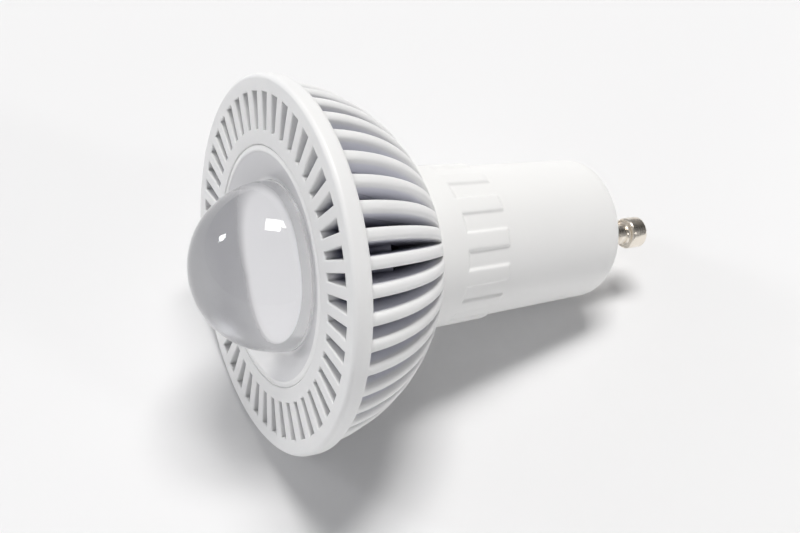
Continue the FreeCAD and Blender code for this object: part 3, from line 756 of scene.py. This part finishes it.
def lens_back_with_painted_shade():
    """Disc in its seat, with painted shade on the seat's far side; near is one on the side that faces the
    viewer, ring is one past the disc.
    """
    back_finish = Finish("lens_back_with_painted_shade")
    grain = back_finish.noise(0.0005)
    across = back_finish.from_axis()[0]
    to_side = back_finish.vector("DOT_PRODUCT", back_finish.place, tuple(side))
    offset = back_finish.vector("SUBTRACT", back_finish.place, face_centre.tolist())
    along_line = back_finish.math("ABSOLUTE", back_finish.vector("DOT_PRODUCT", offset, STRETCH_LINE))
    distance = across + to_side * DISC_SHIFT - along_line * DISC_STRETCH
    near = to_side.over(*SIDE_FADE)
    edge = distance - DISC_RADIUS
    ring = edge.over(*CRISP_EDGE) * near + edge.over(*SOFT_EDGE) * (1 - near)
    # Painted shade: the seat is darker on its far side than on its near side.
    seat = back_finish.blend(near, SEAT_FAR_SHADE, SEAT_NEAR)
    seat = back_finish.blend(distance.over(*SEAT_FADE) * 0.6, seat, SEAT_EDGE)
    colour = back_finish.blend(ring, DISC_WHITE, seat)
    colour = back_finish.blend(across.over(*FLANGE_FADE), colour, WHITE)
    return back_finish.done(back_finish.surface(Base_Color=colour, Metallic=ring * 0.3,
                                    Roughness=0.5 - ring * 0.28 + grain * 0.04,
                                    Normal=back_finish.bump(grain, 0.00001, 0.2)))


wear(lens, clear_acrylic())
lens.data.materials.append(lens_back_with_painted_shade())
lens.data.polygons.foreach_set("material_index", on_back)

# %% [markdown]
# ## Plastic base
#
# The base is plain white plastic. What tells it from paint is the soft, even texture of its mould and a
# slightly warmer white, so it has a finer bump than the housing and a roughness that varies with it.

# %% Moulded plastic of the base
PLASTIC_DARK, PLASTIC_LIGHT = rgb(0.895, 0.893, 0.885), rgb(0.925, 0.922, 0.912)


def moulded_plastic():
    """Warm white that follows a broad cloud, with the mould's texture in roughness and bump."""
    plastic = Finish("moulded_plastic")
    texture = plastic.noise(0.0005)
    colour = plastic.blend(plastic.noise(0.015), PLASTIC_DARK, PLASTIC_LIGHT)
    return plastic.done(plastic.surface(Base_Color=colour, Roughness=0.38 + texture * 0.14, IOR=1.5,
                                        Normal=plastic.bump(texture, 0.000012, 0.5)))


wear(base, moulded_plastic())

# %% [markdown]
# ## Nickel pins
#
# The pins are nickel: warm grey, turned on a lathe, with rings of fine marks that run round each pin. A
# ring lies at one place along the lamp, so the marks are a noise of that one number. Soft stains make
# it darker and rougher in places, because handled nickel is never even.

# %% Turned nickel
NICKEL_CLEAN, NICKEL_STAINED = rgb(0.9, 0.84, 0.75), rgb(0.66, 0.58, 0.49)
RINGS_PER_METRE = 9000.0


def turned_nickel():
    """Metal whose rings are a noise of the place along the axis, with a soft stain over them."""
    nickel = Finish("turned_nickel")
    rings = nickel.node("TexNoise", {"noise_dimensions": "1D"},
                        {"W": nickel.from_axis()[1], "Scale": RINGS_PER_METRE, "Detail": 3.0})
    stain = nickel.noise(0.002, 3.0).over(0.4, 0.75)
    colour = nickel.blend(stain, NICKEL_CLEAN, NICKEL_STAINED)
    return nickel.done(nickel.surface(Base_Color=colour, Metallic=1.0,
                                      Roughness=0.16 + rings * 0.16 + stain * 0.1,
                                      Normal=nickel.bump(rings, 0.000006, 0.5)))


nickel = turned_nickel()
for piece in pin_pieces:
    wear(piece, nickel)

# %% [markdown]
# ## Everything inside
#
# The pieces behind the face don't show once the lamp is closed. They keep the solids' shapes. Each
# finish starts from the record's colour, and the kind of material decides three numbers: how rough it
# is, how much of a metal it is and the size of its grain in metres. A broad cloud, twelve grains
# across, varies the colour.

# %% Finishes of the inner pieces
KINDS = {"matte_plastic": (0.55, 0.0, 0.0006), "gloss_plastic": (0.25, 0.0, 0.001),
         "rubber": (0.75, 0.0, 0.0005), "aluminium": (0.35, 0.3, 0.0007),
         "brushed_steel": (0.3, 1.0, 0.0004), "brass": (0.3, 1.0, 0.0005),
         "cast_iron": (0.6, 0.2, 0.0004), "glass": (0.08, 0.0, 0.002)}
DARKER, LIGHTER, CLOUD_GRAINS = 0.93, 1.04, 12


def inner_finish(slot):
    """Finish of a record slot: its colour varied a little, with the grain of its kind of material."""
    rough, metal, grain_size = KINDS[slot["class"]]
    finish = Finish(slot["slot"])
    grain, cloud = finish.noise(grain_size), finish.noise(grain_size * CLOUD_GRAINS)
    channels = np.array(slot["base_color"][:3])
    dark, light = (rgb(*np.minimum(1.0, channels * share)) for share in (DARKER, LIGHTER))
    glassy = {"Transmission_Weight": 1.0, "IOR": 1.41} if slot["class"] == "glass" else {}
    return finish.done(finish.surface(Base_Color=finish.blend(cloud, dark, light), Metallic=metal,
                                      Roughness=rough + grain * 0.1,
                                      Normal=finish.bump(grain, 0.000015, 0.5), **glassy))


record = frame["record"]
slots = {slot["slot"]: slot for slot in record["materials"]}
finishes = {}
for part in record["subparts"]:
    if part["node"] not in stands_for:
        slot_name = part["material_slot"]
        if slot_name not in finishes:
            finishes[slot_name] = inner_finish(slots[slot_name])
        wear(nodes[part["node"]], finishes[slot_name])
print(len(finishes), "finishes for", len(record["subparts"]) - len(stands_for), "inner pieces")

# %% [markdown]
# ## Table
#
# The lamp lies on a white sheet that runs past the edges of the view. It is one flat square, matt, so
# that it takes a soft shadow and sends light back up under the fins. Its white varies a little, and
# goes to a paler one in front of the lamp, towards the lower right of the picture: painted light that
# evens out the broad shade the lamp casts over that side.

# %% White sheet, with painted light
SHEET_DARK, SHEET_LIGHT = rgb(0.835, 0.835, 0.842), rgb(0.85, 0.85, 0.855)
# The paler white is painted light over the broad shade that the lamp casts on the sheet.
SHEET_PAINTED_LIGHT, PAINTED_LIGHT_WAY, PAINTED_LIGHT_FADE = rgb(0.905, 0.905, 0.91), (0.6, -0.8, 0.0), (0.01, 0.11)
SHEET_HALF, SHEET_POINTS = 1.6, 9


def sheet_with_painted_light():
    """Paper white that follows a broad cloud, with painted light that goes to a paler white along a line on
    the table.
    """
    paper = Finish("sheet_with_painted_light")
    colour = paper.blend(paper.noise(0.25), SHEET_DARK, SHEET_LIGHT)
    # Painted light: paler towards the lower right, over the lamp's broad shade.
    reach = paper.vector("DOT_PRODUCT", paper.place, PAINTED_LIGHT_WAY)
    colour = paper.blend(reach.over(*PAINTED_LIGHT_FADE), colour, SHEET_PAINTED_LIGHT)
    return paper.done(paper.surface(Base_Color=colour, Roughness=1.0, Specular_IOR_Level=0.0,
                                    Normal=paper.bump(paper.noise(0.004, 4.0), 0.00001, 0.3)))


spread = np.linspace(-SHEET_HALF, SHEET_HALF, SHEET_POINTS)
sheet_points = np.stack([*np.meshgrid(spread, spread), np.zeros((SHEET_POINTS, SHEET_POINTS))], -1)
floor = new_piece("floor", sheet_points, grid_faces(SHEET_POINTS, SHEET_POINTS, around=False))
wear(floor, sheet_with_painted_light())
print("table of", len(floor.data.polygons), "faces,", 2 * SHEET_HALF, "m wide")

# %% [markdown]
# ## Light
#
# Four soft lamps stand for the windows of the photographer's room. The bright marks on the dome and the
# shadows gave their places: a large window above and a little behind, a smaller one beside it, a weak
# one to the back left, and a weaker one low at the front right. The rest is a pale room of three broad
# glows. Their levels come from comparing the brightness of many places with the photograph's. Together
# they light a level surface so that a colour comes out about as it is written. A soft lamp is stated
# by its direction in degrees, its width and height in metres, its level and its colour.

# %% Lamps
LAMP_DISTANCE, LAMP_AIM = 3.0, Vector((0.0, 0.0, 0.025))
WARM, WARMISH, COOL = (1.0, 0.99, 0.975), (1.0, 0.99, 0.98), (0.98, 0.985, 1.0)


def toward(azimuth, elevation):
    """Unit vector to a direction on the sky, azimuth from +X over +Y."""
    a, e = math.radians(azimuth), math.radians(elevation)
    return Vector((math.cos(e) * math.cos(a), math.cos(e) * math.sin(a), math.sin(e)))


def soft_lamp(name, azimuth, elevation, width, height, level, colour):
    """Rectangular light aimed at the lamp's middle; at level 1 what faces it comes out as written."""
    light = bpy.data.lights.new(name, "AREA")
    light.shape, light.size, light.size_y = "RECTANGLE", width, height
    light.energy = level * math.pi ** 2 * LAMP_DISTANCE ** 2
    light.color = colour
    lamp = bpy.data.objects.new(name, light)
    direction = toward(azimuth, elevation)
    lamp.location = LAMP_AIM + direction * LAMP_DISTANCE
    lamp.rotation_euler = direction.to_track_quat("Z", "Y").to_euler()
    bpy.context.scene.collection.objects.link(lamp)
    print(name, "from azimuth", azimuth, "and elevation", elevation)


soft_lamp("window", 61, 74, 0.95, 0.85, 0.58, WARM)
soft_lamp("side_window", 29, 66, 0.42, 0.5, 0.235, WARM)
soft_lamp("far_window", 140.7, 27.2, 0.36, 0.5, 0.10, COOL)
soft_lamp("low_window", -54, 26, 0.3, 0.3, 0.075, WARMISH)

# %% [markdown]
# A glow is brightest in one direction and falls off with the cosine of the angle from it, which is the
# dot product of the two directions, and nothing comes from its back. A pale wall on that side would
# light a small thing on a table in much the same way.

# %% Room
ROOM_COLOUR, ROOM_LEAST = rgb(0.975, 0.98, 1.0), 0.02
GLOWS = (((-1.0, 0.0, 0.0), 0.54), ((0.0, 1.0, 0.0), 0.36), ((0.0, -1.0, 0.0), 0.3))


def pale_room():
    """World whose strength is a small least amount plus each glow's strength times its cosine."""
    room = Finish("room", bpy.data.worlds)
    sky = room.node("TexCoord", output="Generated")
    glow = ROOM_LEAST
    for direction, strength in GLOWS:
        glow = room.math("MAXIMUM", room.vector("DOT_PRODUCT", sky, direction), 0.0) * strength + glow
    return room.done(room.node("Background", None, {"Color": ROOM_COLOUR, "Strength": glow}), "OutputWorld")


bpy.context.scene.world = pale_room()
bpy.context.scene.view_settings.view_transform = "Standard"
